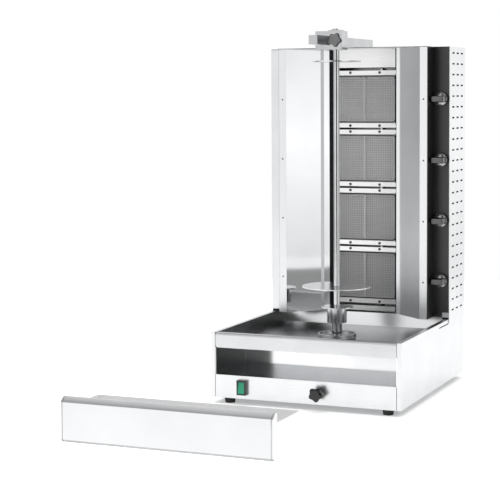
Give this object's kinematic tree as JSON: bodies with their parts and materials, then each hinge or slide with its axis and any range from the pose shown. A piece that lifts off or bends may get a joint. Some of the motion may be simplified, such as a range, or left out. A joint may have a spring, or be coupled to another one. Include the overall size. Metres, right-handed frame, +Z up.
{
  "type": "gas kebab grill",
  "caption": "Upright gas kebab grill: infrared burners between polished wings, a turning spit over a drip pan, a collecting drawer, and a sliding arm bracket.",
  "frame": {"origin": "on the floor, in the middle of the whole outline with the drawer standing out", "axes": "+X to the operator's right, +Y to the rear, +Z up"},
  "size_m": [0.5436, 1.4804, 1.019],
  "materials": {
    "casing_steel": "satin stainless steel sheet of the base and the side panels",
    "reflector_steel": "mirror polished stainless steel wings",
    "pan_steel": "bright stainless steel drip pan and dish",
    "drawer_steel": "light satin stainless steel drawer",
    "spit_steel": "turned stainless steel of the spit and its discs",
    "bracket_steel": "milled steel of the arm and its bracket",
    "burner_steel": "burner housings and their frame",
    "gauze_steel": "heat resisting wire gauze",
    "screw_steel": "screw heads and rivets",
    "frame_steel": "galvanised inner steel",
    "black_panel": "satin black enamel of the knob panel",
    "motor_paint": "grey paint of the gear motor",
    "black_plastic": "black thermoplastic of the knobs",
    "green_plastic": "lit green rocker",
    "rubber_black": "black rubber feet",
    "tile_ceramic": "ceramic burner tiles",
    "valve_brass": "brass of the gas line",
    "bearing_steel": "plain steel bushes"
  },
  "bodies": {
    "grill": {"base_side_left": "casing_steel", "base_side_right": "casing_steel", "base_front_plate": "casing_steel", "tower_side_left": "casing_steel", "tower_side_right": "casing_steel", "rear_panel": "casing_steel", "tower_roof": "casing_steel", "base_floor": "frame_steel", "drawer_housing": "frame_steel", "carriage_rails": "frame_steel", "tower_pads": "frame_steel", "arm_mount": "frame_steel", "drip_pan": "pan_steel", "feet": "rubber_black", "switch_bezel": "black_plastic", "cable_gland": "black_plastic", "gas_inlet": "valve_brass", "gas_valves": "valve_brass", "gas_injectors": "valve_brass", "gas_manifold": "frame_steel", "feed_pipes": "frame_steel", "rod_bush": "bearing_steel", "tower_wing_left": "reflector_steel", "tower_wing_right": "reflector_steel", "knob_panel": "black_panel", "burner_surround": "burner_steel", "burner_casing_1": "burner_steel", "burner_casing_2": "burner_steel", "burner_casing_3": "burner_steel", "burner_casing_4": "burner_steel", "burner_tiles": "tile_ceramic", "burner_gauzes": "gauze_steel", "burner_screws": "screw_steel", "casing_screws": "screw_steel", "flame_probes": "spit_steel", "support_arm": "bracket_steel"},
    "drawer": {"drawer_front": "drawer_steel", "drawer_box": "drawer_steel"},
    "rocker": {"switch_rocker": "green_plastic"},
    "carriage": {"drive_carriage": "frame_steel", "gear_motor": "motor_paint"},
    "lock_knob": {"lock_knob": "black_plastic"},
    "spit": {"drive_shaft": "spit_steel", "drip_dish": "pan_steel", "spit_socket": "spit_steel", "skewer": "spit_steel", "meat_plate": "spit_steel"},
    "top_disc": {"top_disc": "spit_steel"},
    "top_bracket": {"top_bracket": "bracket_steel", "top_bearing": "bearing_steel"},
    "top_knob": {"top_knob": "black_plastic"},
    "top_plunger": {"top_plunger": "spit_steel"},
    "valve_stem_1": {"valve_stem_1": "spit_steel"},
    "gas_knob_1": {"gas_knob_1": "black_plastic"},
    "valve_stem_2": {"valve_stem_2": "spit_steel"},
    "gas_knob_2": {"gas_knob_2": "black_plastic"},
    "valve_stem_3": {"valve_stem_3": "spit_steel"},
    "gas_knob_3": {"gas_knob_3": "black_plastic"},
    "valve_stem_4": {"valve_stem_4": "spit_steel"},
    "gas_knob_4": {"gas_knob_4": "black_plastic"}
  },
  "joints": [
    {"name": "drawer_slide", "type": "slide", "parent": "grill", "child": "drawer", "axis": [0, 1, 0], "range_m": [0, 0.82]},
    {"name": "spit_distance", "type": "slide", "parent": "grill", "child": "carriage", "axis": [0, 1, 0], "range_m": [-0.04, 0]},
    {"name": "spit_turn", "type": "hinge", "parent": "carriage", "child": "spit", "pos_m": [0, 0.36425, 0.16], "axis": [0, 0, 1], "continuous": true},
    {"name": "disc_slide", "type": "slide", "parent": "spit", "child": "top_disc", "axis": [0, 0, 1], "range_m": [-0.5, 0]},
    {"name": "lock_knob_turn", "type": "hinge", "parent": "carriage", "child": "lock_knob", "pos_m": [0.042, 0.07025, 0.047], "axis": [0, -1, 0], "range_deg": [0, 270]},
    {"name": "bracket_slide", "type": "slide", "parent": "grill", "child": "top_bracket", "axis": [0, 1, 0], "range_m": [-0.04, 0]},
    {"name": "top_knob_turn", "type": "hinge", "parent": "top_bracket", "child": "top_knob", "pos_m": [0.014, 0.30525, 0.9855], "axis": [0, -1, 0], "range_deg": [0, 270]},
    {"name": "plunger_lift", "type": "slide", "parent": "top_bracket", "child": "top_plunger", "axis": [0, 0, 1], "range_m": [0, 0.014]},
    {"name": "rocker_tip", "type": "hinge", "parent": "grill", "child": "rocker", "pos_m": [-0.177, 0.09225, 0.0485], "axis": [1, 0, 0], "range_deg": [0, 15]},
    {"name": "knob_push_1", "type": "slide", "parent": "grill", "child": "valve_stem_1", "axis": [0, 1, 0], "range_m": [0, 0.004], "stiffness_N_per_m": 1500},
    {"name": "knob_turn_1", "type": "hinge", "parent": "valve_stem_1", "child": "gas_knob_1", "pos_m": [0.2465, 0.50825, 0.305], "axis": [0, -1, 0], "range_deg": [0, 180]},
    {"name": "knob_push_2", "type": "slide", "parent": "grill", "child": "valve_stem_2", "axis": [0, 1, 0], "range_m": [0, 0.004], "stiffness_N_per_m": 1500},
    {"name": "knob_turn_2", "type": "hinge", "parent": "valve_stem_2", "child": "gas_knob_2", "pos_m": [0.2465, 0.50825, 0.4775], "axis": [0, -1, 0], "range_deg": [0, 180]},
    {"name": "knob_push_3", "type": "slide", "parent": "grill", "child": "valve_stem_3", "axis": [0, 1, 0], "range_m": [0, 0.004], "stiffness_N_per_m": 1500},
    {"name": "knob_turn_3", "type": "hinge", "parent": "valve_stem_3", "child": "gas_knob_3", "pos_m": [0.2465, 0.50825, 0.65], "axis": [0, -1, 0], "range_deg": [0, 180]},
    {"name": "knob_push_4", "type": "slide", "parent": "grill", "child": "valve_stem_4", "axis": [0, 1, 0], "range_m": [0, 0.004], "stiffness_N_per_m": 1500},
    {"name": "knob_turn_4", "type": "hinge", "parent": "valve_stem_4", "child": "gas_knob_4", "pos_m": [0.2465, 0.50825, 0.8225], "axis": [0, -1, 0], "range_deg": [0, 180]}
  ],
  "couplings": [
    {"joint": "bracket_slide", "follows": "spit_distance", "ratio": 1}
  ]
}
